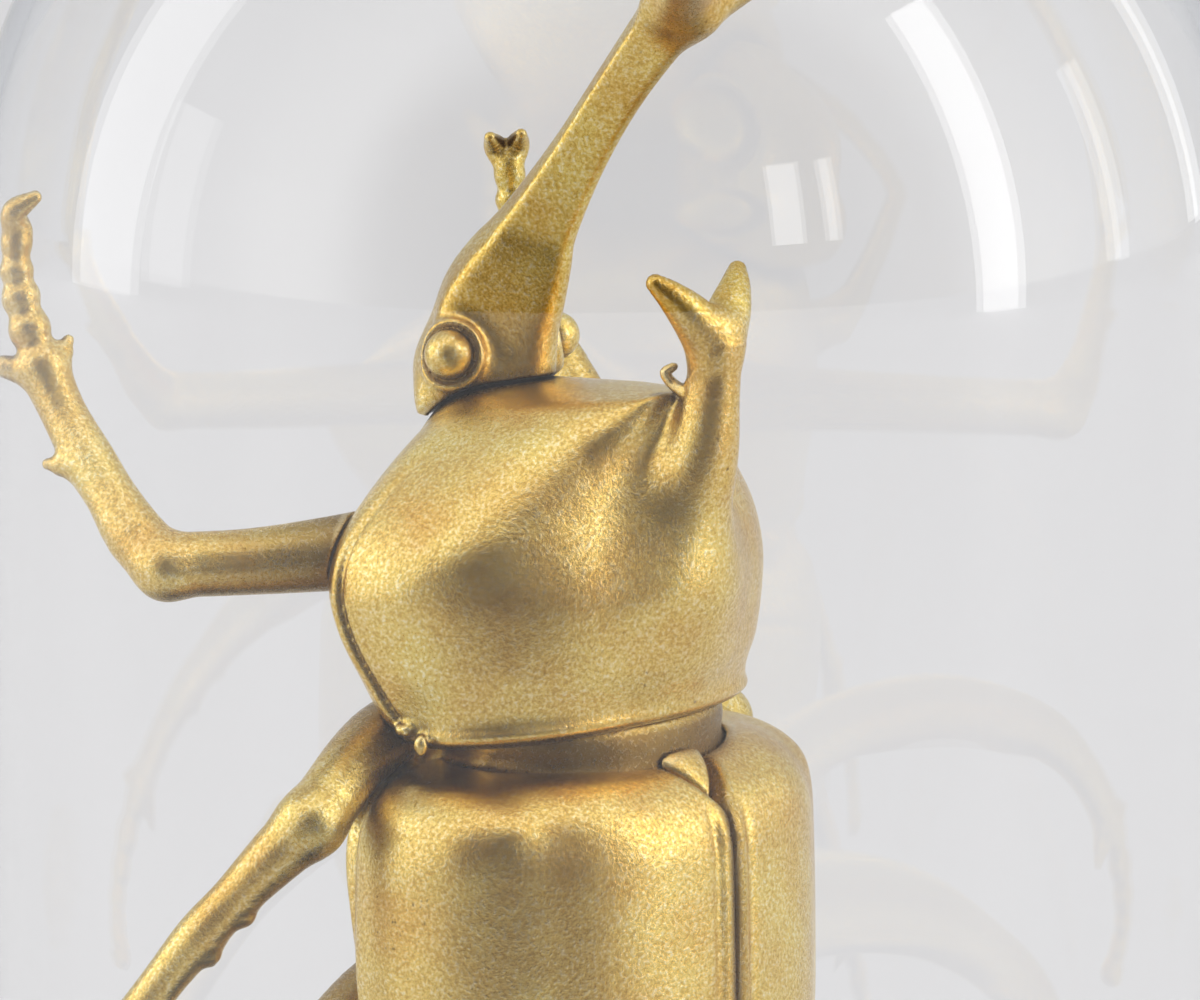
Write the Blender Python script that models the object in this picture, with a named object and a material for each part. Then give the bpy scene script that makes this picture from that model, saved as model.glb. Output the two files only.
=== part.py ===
"""A gilded rhinoceros beetle, cast in pieces and stood head up on a brass rod, under a glass dome.

The origin is the middle of the underside of the felt pad. +Z runs up the beetle from its tail to its
horn, its back faces -Y, its belly faces +Y, and its left side faces -X.
"""

import math

import bmesh
import bpy
from mathutils import Matrix, Vector

MM = 0.001
GAP = 0.3 * MM

# Driving sizes of the case, in metres.
PAD_RADIUS = 91 * MM
PAD_THICKNESS = 1.5 * MM
PLINTH_RADIUS = 98 * MM
PLINTH_TOP = 20 * MM
PLINTH_EDGE_ROUND = 4 * MM
PLINTH_FOOT_CHAMFER = 1 * MM
GROOVE_DEPTH = 4 * MM
GROOVE_PLAY = 0.8 * MM
DOME_RADIUS = 88 * MM
DOME_WALL = 2.7 * MM
DOME_SPRING = 213 * MM
RIM_CHAMFER = 0.8 * MM
TURNED_SIDES = 40
DOME_ARC_STEPS = 8

# The rod and its sockets.
ROD_RADIUS = 1.75 * MM
ROD_Y = 5 * MM
ROD_FOOT = 9 * MM
ROD_HEAD = 84 * MM

# How finely the castings are faceted.
BODY_SIDES = 26
LIMB_SIDES = 8
ROD_SIDES = 16
SHARP_EDGE = math.radians(35)

for old in list(bpy.data.objects):
    bpy.data.objects.remove(old)


def finish(name, colour, roughness, metallic):
    """A plain Principled material for one kind of stock."""
    material = bpy.data.materials.new(name)
    material.use_nodes = True
    shader = material.node_tree.nodes["Principled BSDF"]
    shader.inputs["Base Color"].default_value = (*colour, 1)
    shader.inputs["Roughness"].default_value = roughness
    shader.inputs["Metallic"].default_value = metallic
    return material


GILT = finish("gilded_casting", (0.62, 0.47, 0.19), 0.34, 1.0)
BRASS = finish("brass_rod", (0.70, 0.52, 0.25), 0.25, 1.0)
WOOD = finish("ebonised_wood", (0.018, 0.015, 0.013), 0.45, 0.0)
FELT = finish("black_felt", (0.02, 0.02, 0.022), 0.95, 0.0)
GLASS = finish("clear_glass", (1.0, 1.0, 1.0), 0.02, 0.0)
GLASS.node_tree.nodes["Principled BSDF"].inputs["Transmission Weight"].default_value = 1.0


def add_object(name, mesh, material):
    """Puts a mesh in the scene, shaded smooth with its hard edges kept."""
    piece = bpy.data.objects.new(name, mesh)
    bpy.context.scene.collection.objects.link(piece)
    mesh.shade_smooth()
    mesh.set_sharp_from_angle(angle=SHARP_EDGE)
    if material:
        mesh.materials.append(material)
    return piece


def mesh_of(shape, name):
    """Closes a bmesh off with its faces outward and returns it as a mesh."""
    bmesh.ops.recalc_face_normals(shape, faces=shape.faces[:])
    mesh = bpy.data.meshes.new(name)
    shape.to_mesh(mesh)
    shape.free()
    return mesh


def bake(piece):
    """Applies the modifiers of a piece to its mesh."""
    graph = bpy.context.evaluated_depsgraph_get()
    mesh = bpy.data.meshes.new_from_object(piece.evaluated_get(graph))
    piece.modifiers.clear()
    piece.data = mesh


def combine(piece, other, operation):
    """Joins or cuts a piece with another, which is used up."""
    boolean = piece.modifiers.new(operation.lower(), "BOOLEAN")
    boolean.operation = operation
    boolean.object = other
    bake(piece)
    bpy.data.objects.remove(other)
    return piece


# A faceted cutter lies a little inside its true curve, so it is swollen by more than the gap.
CUTTER_SWELL = 1.3 * GAP


def clear_of(piece, *neighbours):
    """Cuts a piece back from each neighbour, so that a thin gap is left between them."""
    for neighbour in neighbours:
        cutter = bpy.data.objects.new("cutter", neighbour.data.copy())
        bpy.context.scene.collection.objects.link(cutter)
        swell = cutter.modifiers.new("swell", "DISPLACE")
        swell.strength = CUTTER_SWELL
        swell.mid_level = 0
        bake(cutter)
        combine(piece, cutter, "DIFFERENCE")
    return piece


def tidy_facets(piece):
    """Welds the slivers that the cuts leave, and shades the piece again."""
    shape = bmesh.new()
    shape.from_mesh(piece.data)
    bmesh.ops.remove_doubles(shape, verts=shape.verts[:], dist=0.02 * MM)
    bmesh.ops.dissolve_degenerate(shape, dist=0.05 * MM, edges=shape.edges[:])
    bmesh.ops.triangulate(shape, faces=shape.faces[:])
    shape.to_mesh(piece.data)
    shape.free()
    piece.data.shade_smooth()
    piece.data.set_sharp_from_angle(angle=SHARP_EDGE)
    return piece


def loft(name, rings, material=None):
    """A closed skin over rings of equal count, with a flat face on each end."""
    shape = bmesh.new()
    rows = [[shape.verts.new(point) for point in ring] for ring in rings]
    for low, high in zip(rows, rows[1:]):
        for i in range(len(low)):
            j = (i + 1) % len(low)
            shape.faces.new((low[i], low[j], high[j], high[i]))
    shape.faces.new(rows[0])
    shape.faces.new(rows[-1])
    return add_object(name, mesh_of(shape, name), material)


def shell_ring(height, half_width, margin, back, belly, rise=0.0, sides=BODY_SIDES):
    """One level of a beetle's trunk: an egg section, widest where back and belly plates meet.

    Rise lifts the ring towards the back, by that much for each millimetre of depth.
    """
    ring = []
    for i in range(sides):
        turn = math.tau * i / sides
        depth = back if math.sin(turn) > 0 else belly
        x = half_width * math.cos(turn)
        y = margin + abs(math.sin(turn)) * (depth - margin)
        ring.append(Vector((x, y, height + rise * (margin - y))) * MM)
    return ring


def turned(name, profile, material, sides=TURNED_SIDES):
    """A solid of revolution about Z, from a (radius, height) profile that is closed or ends on the axis."""
    shape = bmesh.new()
    line = [shape.verts.new((radius, 0, height)) for radius, height in profile]
    edges = [shape.edges.new(pair) for pair in zip(line, line[1:])]
    if profile[0][0] > 0:
        edges.append(shape.edges.new((line[-1], line[0])))
    bmesh.ops.spin(
        shape, geom=line + edges, cent=(0, 0, 0), axis=(0, 0, 1), angle=math.tau, steps=sides, use_merge=True
    )
    bmesh.ops.remove_doubles(shape, verts=shape.verts[:], dist=0.01 * MM)
    return add_object(name, mesh_of(shape, name), material)


def smooth_route(knots, step):
    """Points along a curve that passes smoothly through (x, y, z, radius) knots."""
    knots = [Vector(knot) for knot in knots]
    ends = [2 * knots[0] - knots[1]] + knots + [2 * knots[-1] - knots[-2]]
    route = []
    for a, b, c, d in zip(ends, ends[1:], ends[2:], ends[3:]):
        count = max(2, round((c - b).length / step))
        for i in range(count):
            t = i / count
            route.append(
                0.5 * (2 * b + (c - a) * t + (2 * a - 5 * b + 4 * c - d) * t**2 + (3 * b - a - 3 * c + d) * t**3)
            )
    return route + [knots[-1]]


def limb(name, knots, material=None, step=5.0, sides=LIMB_SIDES):
    """A tapering round limb through (x, y, z, radius) knots in millimetres, with flat ends."""
    route = smooth_route(knots, step)
    curve = bpy.data.curves.new(name, "CURVE")
    curve.dimensions = "3D"
    curve.bevel_depth = MM
    curve.bevel_resolution = sides // 2 - 2
    curve.use_fill_caps = True
    spline = curve.splines.new("POLY")
    spline.points.add(len(route) - 1)
    for point, (x, y, z, radius) in zip(spline.points, route):
        point.co = (x * MM, y * MM, z * MM, 1)
        point.radius = radius
    guide = bpy.data.objects.new(name + "_guide", curve)
    bpy.context.scene.collection.objects.link(guide)
    graph = bpy.context.evaluated_depsgraph_get()
    mesh = bpy.data.meshes.new_from_object(guide.evaluated_get(graph))
    bpy.data.objects.remove(guide)
    shape = bmesh.new()
    shape.from_mesh(mesh)
    bmesh.ops.remove_doubles(shape, verts=shape.verts[:], dist=0.005 * MM)
    return add_object(name, mesh_of(shape, name), material)


def egg(name, centre, half_sizes, material=None, rows=8, sides=14):
    """A round lump, from a UV sphere stretched to its three half sizes in millimetres."""
    shape = bmesh.new()
    stretch = Matrix.Diagonal((*(half * MM for half in half_sizes), 1))
    bmesh.ops.create_uvsphere(
        shape, u_segments=sides, v_segments=rows, radius=1, matrix=Matrix.Translation(Vector(centre) * MM) @ stretch
    )
    return add_object(name, mesh_of(shape, name), material)


def mirrored(knots):
    """The same knots on the beetle's right."""
    return [(-knot[0], *knot[1:]) for knot in knots]


# ---------------------------------------------------------------- the trunk
# Each row is height, half width, height of the side margin, back and belly, in millimetres.
BODY_LEVELS = [
    (65.2, 6.0, 1.0, -1.5, 4.0),
    (67, 13.0, 1.5, -5.0, 8.5),
    (70, 19.6, 2.0, -9.0, 12.5),
    (76, 25.8, 3.0, -13.0, 17.0),
    (84, 30.8, 4.0, -16.2, 20.8),
    (93, 33.8, 4.5, -18.2, 23.6),
    (103, 35.3, 5.0, -19.3, 25.8),
    (113, 35.8, 5.0, -19.6, 27.4),
    (122, 35.8, 5.0, -19.3, 28.6),
    (131, 35.3, 5.0, -18.3, 29.0),
    (138, 34.0, 5.0, -15.6, 28.4),
    (142.5, 31.0, 5.0, -12.6, 27.0),
    (145, 23.5, 5.0, -12.2, 25.0),
    (150, 22.5, 5.0, -11.6, 23.5),
    (153, 20.5, 5.0, -10.0, 21.5),
]
body = loft("body", [shell_ring(*level) for level in BODY_LEVELS], GILT)

PROTHORAX_LEVELS = [
    (148.4, 24.5, 8.0, -8.4, 22.5, 0.12),
    (149.4, 29.0, 8.0, -11.0, 24.5, 0.12),
    (152.4, 31.6, 10.5, -13.2, 26.0, 0.08),
    (158, 34.0, 13.0, -15.2, 27.0, 0.02),
    (165, 36.4, 15.0, -15.2, 28.0),
    (171, 37.2, 16.0, -13.6, 28.2),
    (177, 36.6, 16.2, -11.4, 28.0),
    (182, 33.6, 15.4, -10.6, 27.4),
    (188, 27.2, 14.0, -11.4, 26.4),
    (193, 21.0, 12.4, -12.6, 25.0),
    (195.2, 17.5, 11.5, -12.6, 23.4),
    (196, 15.5, 11.0, -11.8, 21.6),
]
pronotum = loft("pronotum", [shell_ring(*level) for level in PROTHORAX_LEVELS], GILT)
HORN_STEM = [
    (0, -7.4, 174, 7.0),
    (0, -13.0, 182, 6.2),
    (0, -16.2, 189, 4.8),
    (0, -17.9, 196, 3.8),
    (0, -18.5, 202.4, 3.6),
    (0, -18.5, 204.6, 3.7),
]
HORN_TINE = [(-0.4, -18.4, 201, 2.2), (-2.2, -18.2, 205.4, 3.0), (-5, -17.2, 208.8, 2.3), (-8.4, -15.5, 211.8, 1.2)]
combine(pronotum, limb("stem", HORN_STEM, step=4, sides=10), "UNION")
combine(pronotum, limb("tine_left", HORN_TINE, step=3), "UNION")
combine(pronotum, limb("tine_right", mirrored(HORN_TINE), step=3), "UNION")
clear_of(pronotum, body)

# ---------------------------------------------------------------- the head with its long forked horn
head = egg("head", (0, 16.5, 198.6), (14.6, 9.6, 9.0), GILT, rows=8, sides=16)
combine(head, egg("muzzle", (0, 24.0, 198.6), (9.0, 6.6, 6.6), rows=8, sides=12), "UNION")
HEAD_HORN = [
    (0, 16.5, 202, 9.2),
    (0, 15.8, 208, 8.4),
    (0, 13.2, 214, 7.0),
    (0, 10.0, 219.4, 5.9),
    (0, 5.0, 227, 5.0),
    (0, -1.6, 236.2, 4.7),
    (0, -8.6, 244.4, 4.9),
    (0, -13.8, 249.4, 5.4),
]
HORN_ARM = [(-1.5, -13.6, 249.4, 4.4), (-6.4, -18.6, 253.4, 3.8), (-11.6, -23.8, 257.0, 3.1)]
ARM_POINTS = [
    [(-11.0, -23.2, 256.6, 2.6), (-15.6, -25.6, 259.8, 2.0), (-19.0, -25.8, 263.4, 1.0)],
    [(-10.6, -22.8, 256.4, 2.6), (-11.6, -27.6, 260.6, 1.9), (-11.0, -30.6, 265.0, 1.0)],
]
combine(head, limb("horn", HEAD_HORN, step=8), "UNION")
for flip in (list, mirrored):
    combine(head, limb("arm", flip(HORN_ARM), step=4), "UNION")
    for point in ARM_POINTS:
        combine(head, limb("point", flip(point), step=5), "UNION")
for side in (-1, 1):
    combine(head, egg("eye", (13.0 * side, 18.0, 199.6), (3.2, 3.8, 3.8), rows=6, sides=10), "UNION")
clear_of(head, pronotum)

# ---------------------------------------------------------------- the wing cases and the scutellum
ELYTRA_LEVELS = [
    (62.8, 5.0, -0.5, -3.0, 2.0),
    (64.6, 12.0, 0.0, -7.0, 7.0),
    (68, 20.0, 1.5, -11.6, 13.0),
    (74, 28.0, 3.0, -16.2, 20.0),
    (82, 33.6, 4.0, -19.4, 26.0),
    (92, 37.0, 4.5, -21.6, 30.0),
    (103, 38.6, 5.0, -22.6, 32.0),
    (113, 39.4, 5.0, -22.8, 32.0),
    (122, 39.6, 5.0, -22.5, 32.0),
    (131, 39.4, 5.0, -21.6, 32.0),
    (138, 38.2, 5.0, -19.6, 31.0),
    (142, 36.4, 5.0, -17.2, 30.0),
    (144.4, 33.2, 5.0, -14.4, 28.0),
]
EDGE_Y = 18.0
TAIL_EDGE = (1.0, 62.0)
TAIL_LEAN = math.radians(12.6)
BLOCK = 0.4
SCUTELLUM_TOP = 147.0
SCUTELLUM_TIP = 140.6


SCUTELLUM_THICK = 2.2
SCUTELLUM_ARCH = 0.6


def scutellum_ring(height, half_width, skin):
    """One level of the small shield: a low arch over a flat back, its outside at the depth of skin."""
    shoulder = skin + SCUTELLUM_ARCH
    inner = skin + SCUTELLUM_THICK
    corners = [(-half_width, shoulder), (0, skin), (half_width, shoulder), (half_width, inner), (-half_width, inner)]
    return [Vector((x, y, height)) * MM for x, y in corners]


scutellum = loft(
    "scutellum",
    [
        scutellum_ring(SCUTELLUM_TIP, 0.5, -18.0),
        scutellum_ring(143.4, 3.2, -16.4),
        scutellum_ring(145.6, 5.2, -15.0),
        scutellum_ring(SCUTELLUM_TOP, 5.8, -14.2),
    ],
    GILT,
)
clear_of(scutellum, body)


def wing_case(name, side):
    """One wing case: half of the hollow egg over the trunk, trimmed at its side edge."""
    case = loft(name, [shell_ring(*level) for level in ELYTRA_LEVELS], GILT)
    suture = Matrix.Translation(Vector((side * GAP / 2, 0, 0.1)))
    side_edge = Matrix.Translation(Vector((0, EDGE_Y, 100)) * MM)
    tail_edge = Matrix.Translation(Vector((0, *TAIL_EDGE)) * MM) @ Matrix.Rotation(-TAIL_LEAN, 4, "X")
    for place, towards in ((suture, (-side, 0, 0)), (side_edge, (0, 1, 0)), (tail_edge, (0, 1, 0))):
        block = bmesh.new()
        middle = Matrix.Translation(Vector(towards) * BLOCK / 2)
        bmesh.ops.create_cube(block, size=BLOCK, matrix=place @ middle)
        combine(case, add_object("block", mesh_of(block, "block"), None), "DIFFERENCE")
    return clear_of(case, body, scutellum)


elytron_left = wing_case("elytron_left", -1)
elytron_right = wing_case("elytron_right", 1)

# ---------------------------------------------------------------- the legs
# Knots of the left legs: thigh from the hip, shin from the knee, foot from the ankle. The right legs
# mirror them.
LEGS = {
    "front": (
        [(-23, 20.5, 175.0, 5.4), (-36, 27.4, 174.0, 4.9), (-50, 37, 173.6, 4.3)],
        [(-49.0, 34.6, 171.8, 3.4), (-50.0, 41.4, 177.4, 3.7), (-50.2, 50, 186.6, 3.2), (-50.4, 58.4, 198.6, 3.3)],
        [(-50.4, 57.4, 197, 2.7), (-51.0, 60.4, 206, 2.2), (-51.2, 61.6, 213, 1.9), (-50.8, 62.2, 219.6, 1.6)],
    ),
    "middle": (
        [(-21, 20.5, 148, 5.2), (-33, 17.4, 146.6, 4.5), (-43.5, 15.8, 140.3, 4.4)],
        [(-42.2, 13.8, 142.6, 3.2), (-45.8, 17.6, 137.4, 3.7), (-53, 25, 126.4, 3.1), (-61.4, 35, 109.2, 3.4)],
        [(-61.0, 34.4, 110.4, 2.6), (-63.6, 39.2, 101, 2.2), (-63.6, 42.2, 92, 1.9), (-61, 43.4, 84.4, 1.6)],
    ),
    "hind": (
        [(-15, 22.8, 112, 5.4), (-26, 23.6, 110, 4.9), (-37.4, 22.0, 104.6, 4.2)],
        [(-36.4, 20.2, 106.8, 3.2), (-40.4, 25.2, 98, 3.6), (-46.4, 33.0, 82, 3.3), (-52.4, 40.6, 64, 3.6)],
        [(-52.0, 40.0, 65.6, 2.7), (-55.2, 45.0, 54.6, 2.2), (-55.6, 48.0, 44.8, 1.9), (-53.4, 49.0, 36.8, 1.6)],
    ),
}
MIRROR = Matrix.Scale(-1, 4, (1, 0, 0))
legs = []
for place, (thigh, shin, foot) in LEGS.items():
    leg = limb(f"leg_{place}_left", thigh, GILT, step=6)
    combine(leg, limb("shin", shin, step=6), "UNION")
    combine(leg, limb("foot", foot, step=5), "UNION")
    clear_of(leg, body, pronotum, elytron_left)
    tidy_facets(leg)
    other = leg.data.copy()
    other.transform(MIRROR)
    other.flip_normals()
    legs += [leg, add_object(f"leg_{place}_right", other, None)]

# ---------------------------------------------------------------- the rod, and its socket in the tail
ROD_ENDS = [(0, ROD_Y / MM, height / MM, ROD_RADIUS / MM) for height in (ROD_FOOT, ROD_HEAD)]
rod = limb("support_rod", ROD_ENDS, BRASS, step=60, sides=ROD_SIDES)
clear_of(body, rod)

# ---------------------------------------------------------------- the plinth, its pad and the dome
PLINTH_FOOT = PAD_THICKNESS + GAP
GROOVE_IN = DOME_RADIUS - DOME_WALL - GROOVE_PLAY
GROOVE_OUT = DOME_RADIUS + GROOVE_PLAY
GROOVE_FLOOR = PLINTH_TOP - GROOVE_DEPTH


def round_corner(centre_radius, centre_height, radius, start, end, steps):
    """Points on an arc of a turned profile, with its angles in degrees."""
    points = []
    for i in range(steps + 1):
        angle = math.radians(start + (end - start) * i / steps)
        points.append((centre_radius + radius * math.cos(angle), centre_height + radius * math.sin(angle)))
    return points


plinth = turned(
    "plinth",
    [
        (0, PLINTH_TOP),
        (GROOVE_IN, PLINTH_TOP),
        (GROOVE_IN, GROOVE_FLOOR),
        (GROOVE_OUT, GROOVE_FLOOR),
        (GROOVE_OUT, PLINTH_TOP),
        *round_corner(
            PLINTH_RADIUS - PLINTH_EDGE_ROUND, PLINTH_TOP - PLINTH_EDGE_ROUND, PLINTH_EDGE_ROUND, 90, 0, 4
        ),
        (PLINTH_RADIUS, PLINTH_FOOT + PLINTH_FOOT_CHAMFER),
        (PLINTH_RADIUS - PLINTH_FOOT_CHAMFER, PLINTH_FOOT),
        (0, PLINTH_FOOT),
    ],
    WOOD,
)
clear_of(plinth, rod)
felt_pad = turned("felt_pad", [(0, PAD_THICKNESS), (PAD_RADIUS, PAD_THICKNESS), (PAD_RADIUS, 0), (0, 0)], FELT)
DOME_INSIDE = DOME_RADIUS - DOME_WALL
DOME_RIM = GROOVE_FLOOR + GAP
glass_dome = turned(
    "glass_dome",
    [
        *reversed(round_corner(0, DOME_SPRING, DOME_RADIUS, 0, 90, DOME_ARC_STEPS)),
        (DOME_RADIUS, DOME_RIM + RIM_CHAMFER),
        (DOME_RADIUS - RIM_CHAMFER, DOME_RIM),
        (DOME_INSIDE + RIM_CHAMFER, DOME_RIM),
        (DOME_INSIDE, DOME_RIM + RIM_CHAMFER),
        *round_corner(0, DOME_SPRING, DOME_INSIDE, 0, 90, DOME_ARC_STEPS),
    ],
    GLASS,
)

for casting in (body, pronotum, head, scutellum, elytron_left, elytron_right, plinth):
    tidy_facets(casting)
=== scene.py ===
import math

import bmesh
import bpy
import numpy as np
from mathutils import Matrix, Vector


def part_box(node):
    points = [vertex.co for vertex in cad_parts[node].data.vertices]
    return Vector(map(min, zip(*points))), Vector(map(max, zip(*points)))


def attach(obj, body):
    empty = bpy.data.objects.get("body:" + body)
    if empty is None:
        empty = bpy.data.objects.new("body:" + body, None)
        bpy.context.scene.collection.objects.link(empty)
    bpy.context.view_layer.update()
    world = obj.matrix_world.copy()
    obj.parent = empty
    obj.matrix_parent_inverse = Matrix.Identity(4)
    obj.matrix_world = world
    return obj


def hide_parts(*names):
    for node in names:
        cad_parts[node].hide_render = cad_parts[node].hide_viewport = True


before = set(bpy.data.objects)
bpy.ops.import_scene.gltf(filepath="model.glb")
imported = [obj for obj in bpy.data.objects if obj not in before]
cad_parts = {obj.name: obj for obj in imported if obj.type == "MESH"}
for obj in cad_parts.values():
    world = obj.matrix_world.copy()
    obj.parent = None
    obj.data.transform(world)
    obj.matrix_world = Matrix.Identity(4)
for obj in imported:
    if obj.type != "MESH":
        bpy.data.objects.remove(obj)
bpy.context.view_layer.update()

# ---- Plinth -----------------------------------------------------------------------------------
# A disc of hardwood turned on a lathe, with a rounded top edge, a shallow bead above the foot and a
# groove in its top that the glass stands in. It is stained black and lacquered.
MM = 0.001


def turn(name, profile, sides):
    """Turns a closed (radius, height) outline, in metres, about the middle of the case."""
    outline = np.array(profile)
    count = len(outline)
    angle = np.linspace(0, math.tau, sides, endpoint=False)
    points = np.empty((sides, count, 3))
    points[..., 0] = np.cos(angle)[:, None] * outline[:, 0]
    points[..., 1] = np.sin(angle)[:, None] * outline[:, 0]
    points[..., 2] = outline[:, 1]
    here = np.arange(sides)[:, None] * count + np.arange(count)
    quads = np.stack(
        [here, np.roll(here, -1, 0), np.roll(np.roll(here, -1, 0), -1, 1), np.roll(here, -1, 1)], -1
    )
    mesh = bpy.data.meshes.new(name)
    mesh.from_pydata(points.reshape(-1, 3).tolist(), [], quads.reshape(-1, 4).tolist())
    work = bmesh.new()
    work.from_mesh(mesh)
    bmesh.ops.remove_doubles(work, verts=work.verts[:], dist=0.01 * MM)
    bmesh.ops.dissolve_degenerate(work, edges=work.edges[:], dist=0.005 * MM)
    bmesh.ops.recalc_face_normals(work, faces=work.faces[:])
    work.to_mesh(mesh)
    work.free()
    mesh.shade_smooth()
    mesh.set_sharp_from_angle(angle=math.radians(40))
    piece = bpy.data.objects.new(name, mesh)
    bpy.context.scene.collection.objects.link(piece)
    return piece


def arc(radius, height, bend, start, end, steps):
    """Points on a round of a turned outline, about (radius, height), between two angles in degrees."""
    turns = np.radians(np.linspace(start, end, steps + 1))
    return [(radius + bend * math.cos(t), height + bend * math.sin(t)) for t in turns]


def stock(name):
    """A new material, its Principled shader, and helpers that add nodes, ramps and links to it."""
    material = bpy.data.materials.new(name)
    material.use_nodes = True
    tree = material.node_tree

    def node(kind, **settings):
        """A node with its options and inputs set. An input goes by its name, with _ for each space,
        or by i and its number."""
        made = tree.nodes.new("ShaderNode" + kind)
        for key, value in settings.items():
            if key in ("operation", "data_type", "blend_type", "attribute_name", "interpolation_type"):
                setattr(made, key, value)
                continue
            socket = made.inputs[int(key[1:]) if key[1:].isdigit() else key.replace("_", " ")]
            if isinstance(value, bpy.types.NodeSocket):
                tree.links.new(value, socket)
            else:
                socket.default_value = value
        return made

    def ramp(value, *stops):
        """A colour that runs through (place, colour) stops as the value grows."""
        made = node("ValToRGB", Fac=value)
        elements = made.color_ramp.elements
        while len(elements) < len(stops):
            elements.new(0.5)
        for element, (place, colour) in zip(elements, stops):
            element.position = place
            element.color = (*colour, 1)
        return made.outputs[0]

    return material, tree.nodes["Principled BSDF"], node, ramp, tree.links.new


PLINTH_LOW, PLINTH_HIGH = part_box("plinth")
GLASS_LOW, GLASS_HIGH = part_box("glass_dome")
plinth_radius = PLINTH_HIGH[0]
glass_radius = GLASS_HIGH[0]
GLASS_WALL = 2.7 * MM
GROOVE_PLAY = 0.8 * MM
groove_floor = GLASS_LOW[2] - 0.3 * MM
top = PLINTH_HIGH[2]
foot = PLINTH_LOW[2]
plinth = turn(
    "plinth_turned",
    [
        (0, top),
        (glass_radius - GLASS_WALL - GROOVE_PLAY - 0.4 * MM, top),
        (glass_radius - GLASS_WALL - GROOVE_PLAY, top - 0.4 * MM),
        (glass_radius - GLASS_WALL - GROOVE_PLAY, groove_floor),
        (glass_radius + GROOVE_PLAY, groove_floor),
        (glass_radius + GROOVE_PLAY, top - 0.4 * MM),
        (glass_radius + GROOVE_PLAY + 0.4 * MM, top),
        *arc(plinth_radius - 4 * MM, top - 4 * MM, 4 * MM, 90, 0, 10),
        (plinth_radius, foot + 6.4 * MM),
        (plinth_radius - 0.7 * MM, foot + 6.0 * MM),
        (plinth_radius - 0.7 * MM, foot + 5.4 * MM),
        *arc(plinth_radius - 2.4 * MM, foot + 2.6 * MM, 2.4 * MM, 80, -80, 10),
        (plinth_radius - 3 * MM, foot),
        (0, foot),
    ],
    sides=192,
)


def black_lacquer():
    """Black stain over hardwood: the grain shows as fine raised streaks under a satin coat."""
    material, shader, node, ramp, link = stock("black_lacquered_wood")
    where = node("TexCoord").outputs["Object"]
    stretched = node("Mapping", Vector=where, Scale=(30.0, 240.0, 240.0))
    grain = node("TexNoise", Vector=stretched.outputs[0], Scale=3.0, Detail=8.0, Roughness=0.65)
    pores = node("TexNoise", Vector=stretched.outputs[0], Scale=14.0, Detail=4.0)
    stain = ramp(grain.outputs["Fac"], (0.35, (0.006, 0.005, 0.005)), (0.75, (0.030, 0.022, 0.017)))
    link(stain, shader.inputs["Base Color"])
    gloss = node("MapRange", Value=pores.outputs["Fac"], To_Min=0.30, To_Max=0.48)
    link(gloss.outputs[0], shader.inputs["Roughness"])
    bump = node("Bump", Height=pores.outputs["Fac"], Strength=0.25, Distance=0.0001)
    link(bump.outputs[0], shader.inputs["Normal"])
    shader.inputs["Coat Weight"].default_value = 0.35
    shader.inputs["Coat Roughness"].default_value = 0.22
    return material


plinth.data.materials.append(black_lacquer())
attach(plinth, "root")
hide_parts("plinth")

# ---- Felt pad ---------------------------------------------------------------------------------
# A disc of short black felt, punched from a sheet and glued under the plinth, so that the wood
# doesn't scratch a shelf.
pad_low, pad_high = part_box("felt_pad")
pad_radius = pad_high[0]
felt_pad = turn(
    "felt_disc",
    [
        (0, pad_high[2]),
        (pad_radius - 0.5 * MM, pad_high[2]),
        (pad_radius, pad_high[2] - 0.5 * MM),
        (pad_radius, pad_low[2] + 0.4 * MM),
        (pad_radius - 0.4 * MM, pad_low[2]),
        (0, pad_low[2]),
    ],
    sides=128,
)


def black_felt():
    """Matted black wool with a fluffy surface that catches the light at its edge."""
    material, shader, node, ramp, link = stock("black_felt")
    where = node("TexCoord").outputs["Object"]
    fluff = node("TexNoise", Vector=where, Scale=2600.0, Detail=6.0)
    matted = node("TexNoise", Vector=where, Scale=300.0, Detail=3.0)
    wool = ramp(matted.outputs["Fac"], (0.0, (0.010, 0.010, 0.011)), (1.0, (0.040, 0.040, 0.043)))
    link(wool, shader.inputs["Base Color"])
    shader.inputs["Roughness"].default_value = 0.95
    shader.inputs["Sheen Weight"].default_value = 0.5
    bump = node("Bump", Height=fluff.outputs["Fac"], Strength=0.8, Distance=0.0004)
    link(bump.outputs[0], shader.inputs["Normal"])
    return material


felt_pad.data.materials.append(black_felt())
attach(felt_pad, "root")
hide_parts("felt_pad")

# ---- Rod --------------------------------------------------------------------------------------
# A straight length of drawn brass with its ends rounded off. It is pushed into a hole in the plinth
# and glued into the beetle's tail, and it holds the beetle upright.
rod_low, rod_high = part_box("support_rod")
rod_radius = (rod_high[0] - rod_low[0]) / 2
rod_y = (rod_low[1] + rod_high[1]) / 2
rod = turn(
    "brass_rod",
    [
        (0, rod_high[2]),
        *arc(rod_radius - 0.4 * MM, rod_high[2] - 0.4 * MM, 0.4 * MM, 90, 0, 4),
        *arc(rod_radius - 0.4 * MM, rod_low[2] + 0.4 * MM, 0.4 * MM, 0, -90, 4),
        (0, rod_low[2]),
    ],
    sides=32,
)
for vertex in rod.data.vertices:
    vertex.co.y += rod_y


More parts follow.
